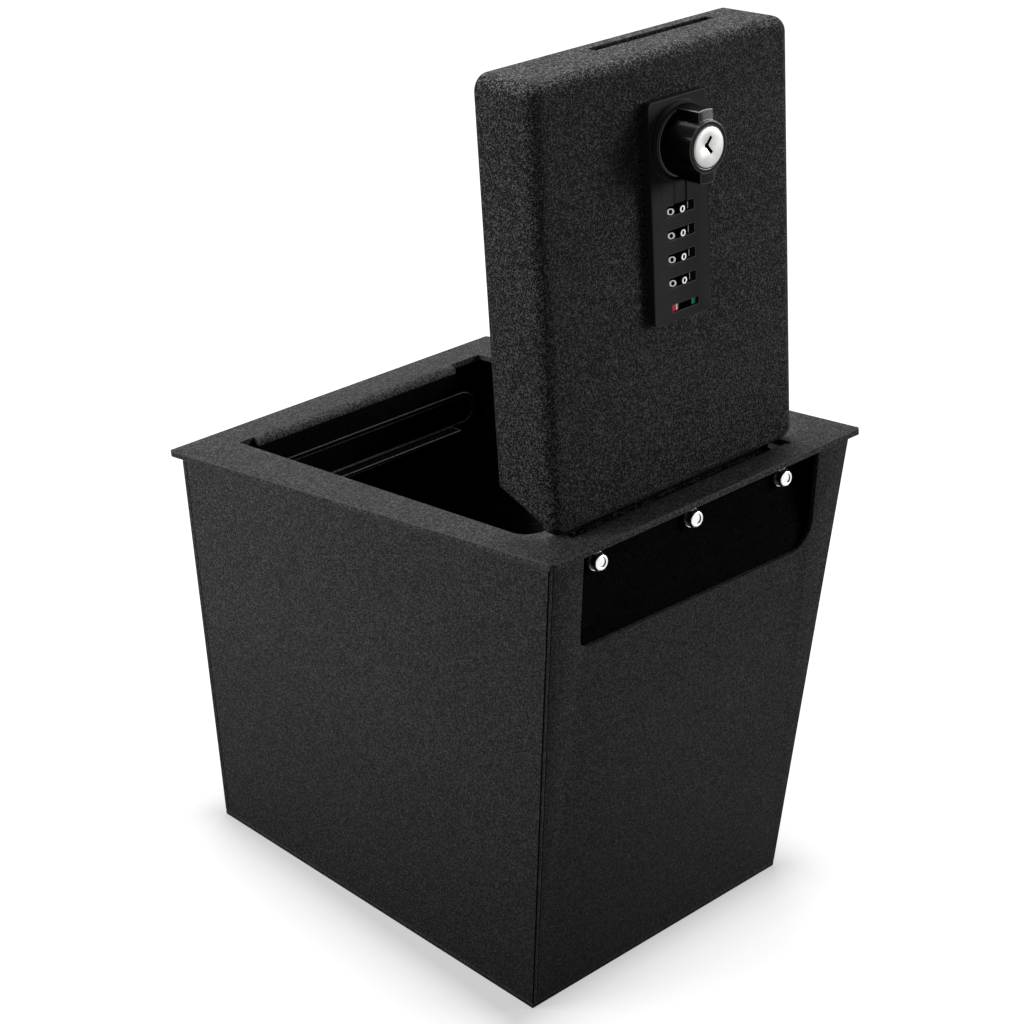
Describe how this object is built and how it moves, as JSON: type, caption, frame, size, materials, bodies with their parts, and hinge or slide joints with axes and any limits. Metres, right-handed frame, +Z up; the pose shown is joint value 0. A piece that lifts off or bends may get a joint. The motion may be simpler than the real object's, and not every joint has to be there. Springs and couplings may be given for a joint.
{
  "type": "vehicle console safe",
  "caption": "Tapered sheet-steel console safe with a flanged rim, a hinged pan lid standing open, a dial lock with a turning knob and key plug, and a bolt-down floor.",
  "frame": {"origin": "at the base, under the middle of the rim plate", "axes": "+X along the hinge side to the right, +Y from the hinge side to the latch side, +Z up"},
  "size_m": [0.2336, 0.291, 0.4807],
  "materials": {
    "coat_body": "textured black powder coat, matte",
    "coat_rim": "textured black powder coat, matte",
    "coat_lid": "coarse textured black powder coat, matte",
    "coat_inner": "black powder coat in shadow, matte",
    "hinge_steel": "black zinc, satin",
    "pin_steel": "bright steel, satin",
    "bolt_nickel": "bright nickel plate",
    "lock_plate_black": "satin black cast plate",
    "housing_black": "matte black moulding",
    "dial_black": "matte black with white figures",
    "mark_red": "red insert",
    "mark_white": "white insert",
    "mark_green": "green insert",
    "slide_black": "matte black",
    "knob_gloss": "glossy black",
    "lock_steel": "zinc plated steel",
    "plug_nickel": "satin nickel"
  },
  "bodies": {
    "safe_body": {"near_wall": "coat_body", "far_wall": "coat_body", "left_wall": "coat_body", "right_wall": "coat_body", "floor_plate": "coat_body", "rim_plate": "coat_rim", "hinge_baffle": "coat_inner", "keeper_frame": "coat_inner", "hinge_body_leaf": "hinge_steel", "hinge_pin": "pin_steel", "hinge_bolts": "bolt_nickel", "hinge_washers": "bolt_nickel", "hinge_nuts": "bolt_nickel"},
    "lid": {"lid_pan": "coat_lid", "hinge_lid_leaf": "hinge_steel", "lock_plate": "lock_plate_black", "lock_housing": "housing_black", "lock_screws": "lock_steel", "dial_axle": "lock_steel", "slide_mark_red": "mark_red", "slide_mark_white": "mark_white", "slide_mark_green": "mark_green"},
    "knob_set": {"knob": "knob_gloss", "knob_spindle": "lock_steel", "key_barrel": "lock_steel", "latch_cam": "lock_steel", "cam_nut": "lock_steel"},
    "key_plug_set": {"key_plug": "plug_nickel"},
    "dial_1_set": {"dial_1": "dial_black"},
    "dial_2_set": {"dial_2": "dial_black"},
    "dial_3_set": {"dial_3": "dial_black"},
    "dial_4_set": {"dial_4": "dial_black"},
    "slide_set": {"slide_button": "slide_black"}
  },
  "joints": [
    {"name": "lid_hinge", "type": "hinge", "parent": "safe_body", "child": "lid", "pos_m": [0.00198, -0.11539, 0.25366], "axis": [1, 0, 0], "range_deg": [-93.1, 1.5]},
    {"name": "knob_turn", "type": "hinge", "parent": "lid", "child": "knob_set", "pos_m": [0.00328, -0.11632, 0.43947], "axis": [0, -0.9963, 0.0854], "range_deg": [0, 90]},
    {"name": "key_turn", "type": "hinge", "parent": "knob_set", "child": "key_plug_set", "pos_m": [0.00328, -0.13476, 0.44105], "axis": [0, -0.9963, 0.0854], "range_deg": [0, 90]},
    {"name": "dial_1_turn", "type": "hinge", "parent": "lid", "child": "dial_1_set", "pos_m": [0.00328, -0.10574, 0.40604], "axis": [0, 0.0854, 0.9963], "continuous": true},
    {"name": "dial_2_turn", "type": "hinge", "parent": "lid", "child": "dial_2_set", "pos_m": [0.00328, -0.10674, 0.39433], "axis": [0, 0.0854, 0.9963], "continuous": true},
    {"name": "dial_3_turn", "type": "hinge", "parent": "lid", "child": "dial_3_set", "pos_m": [0.00328, -0.10775, 0.38263], "axis": [0, 0.0854, 0.9963], "continuous": true},
    {"name": "dial_4_turn", "type": "hinge", "parent": "lid", "child": "dial_4_set", "pos_m": [0.00328, -0.10875, 0.37092], "axis": [0, 0.0854, 0.9963], "continuous": true},
    {"name": "slide_move", "type": "slide", "parent": "lid", "child": "slide_set", "axis": [1, 0, 0], "range_m": [-0.0052, 0.0042]}
  ]
}
